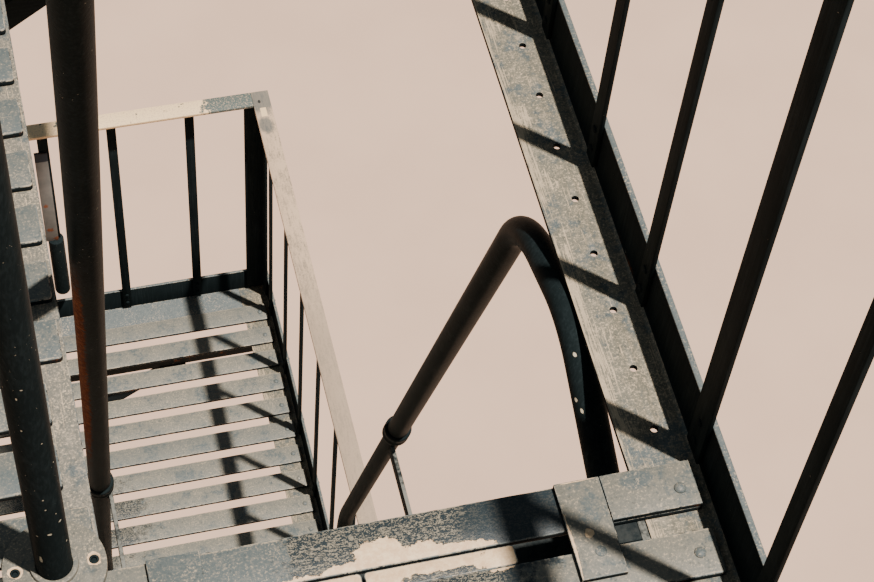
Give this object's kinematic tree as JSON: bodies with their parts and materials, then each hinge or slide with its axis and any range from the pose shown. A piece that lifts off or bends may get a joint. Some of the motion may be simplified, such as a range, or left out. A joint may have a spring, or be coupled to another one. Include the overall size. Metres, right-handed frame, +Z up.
{
  "type": "fire escape stair",
  "caption": "Wall-hung steel fire escape: slatted landings with flat-bar guards, joined by a steep flight with bent pipe handrails.",
  "frame": {"origin": "middle of the back face of the first upper wall plate of the lower landing", "axes": "+X out from the wall, +Y along the wall the way the flight goes down, +Z up"},
  "size_m": [1.429, 4.15, 5.7551],
  "materials": {
    "worn_deck_paint": "blue-grey paint worn to warm grey-beige flecks, thick and chipped at the edges",
    "dark_paint": "thick near-black gloss paint with small pale chips and some rust",
    "pale_rail_paint": "pale grey paint over cream, speckled and peeling"
  },
  "bodies": {
    "root": {"flight_foot_lugs": "dark_paint", "flight_head_lugs": "dark_paint", "flight_header_lugs": "dark_paint", "flight_strap_plates": "worn_deck_paint", "handrail_couplings": "dark_paint", "handrail_foot_plates": "dark_paint", "handrail_standoffs": "dark_paint", "left_handrail_and_post": "dark_paint", "left_stringer": "dark_paint", "lower_bracket_bars": "dark_paint", "lower_bracket_struts": "dark_paint", "lower_end_angles": "worn_deck_paint", "lower_end_balusters": "dark_paint", "lower_end_rails": "pale_rail_paint", "lower_far_slats": "worn_deck_paint", "lower_guard_posts": "dark_paint", "lower_handrails": "dark_paint", "lower_middle_bearer": "worn_deck_paint", "lower_near_slats": "worn_deck_paint", "lower_outer_angle": "worn_deck_paint", "lower_outer_balusters": "dark_paint", "lower_outer_rail": "pale_rail_paint", "lower_passage_slats": "worn_deck_paint", "lower_rail_plates": "dark_paint", "lower_wall_bearer": "worn_deck_paint", "lower_wall_plates": "dark_paint", "post_floor_flange": "worn_deck_paint", "right_handrail": "dark_paint", "right_stringer": "dark_paint", "tread_clips": "dark_paint", "treads": "dark_paint", "upper_bracket_bars": "dark_paint", "upper_bracket_struts": "dark_paint", "upper_end_angles": "worn_deck_paint", "upper_end_balusters": "dark_paint", "upper_end_rails": "dark_paint", "upper_far_slats": "worn_deck_paint", "upper_guard_posts": "dark_paint", "upper_middle_bearer": "worn_deck_paint", "upper_near_slats": "worn_deck_paint", "upper_outer_angle": "worn_deck_paint", "upper_outer_balusters": "dark_paint", "upper_outer_rail": "dark_paint", "upper_passage_slats": "worn_deck_paint", "upper_rail_plates": "dark_paint", "upper_wall_bearer": "worn_deck_paint", "upper_wall_plates": "dark_paint", "lower_hanger_bar": "dark_paint", "lower_hanger_pipe": "dark_paint", "lower_hanger_plate": "pale_rail_paint", "lower_bearer_webs": "worn_deck_paint", "lower_outer_upright": "worn_deck_paint", "upper_bearer_webs": "worn_deck_paint", "upper_outer_upright": "worn_deck_paint", "upper_gap_fillers": "worn_deck_paint"}
  },
  "joints": []
}
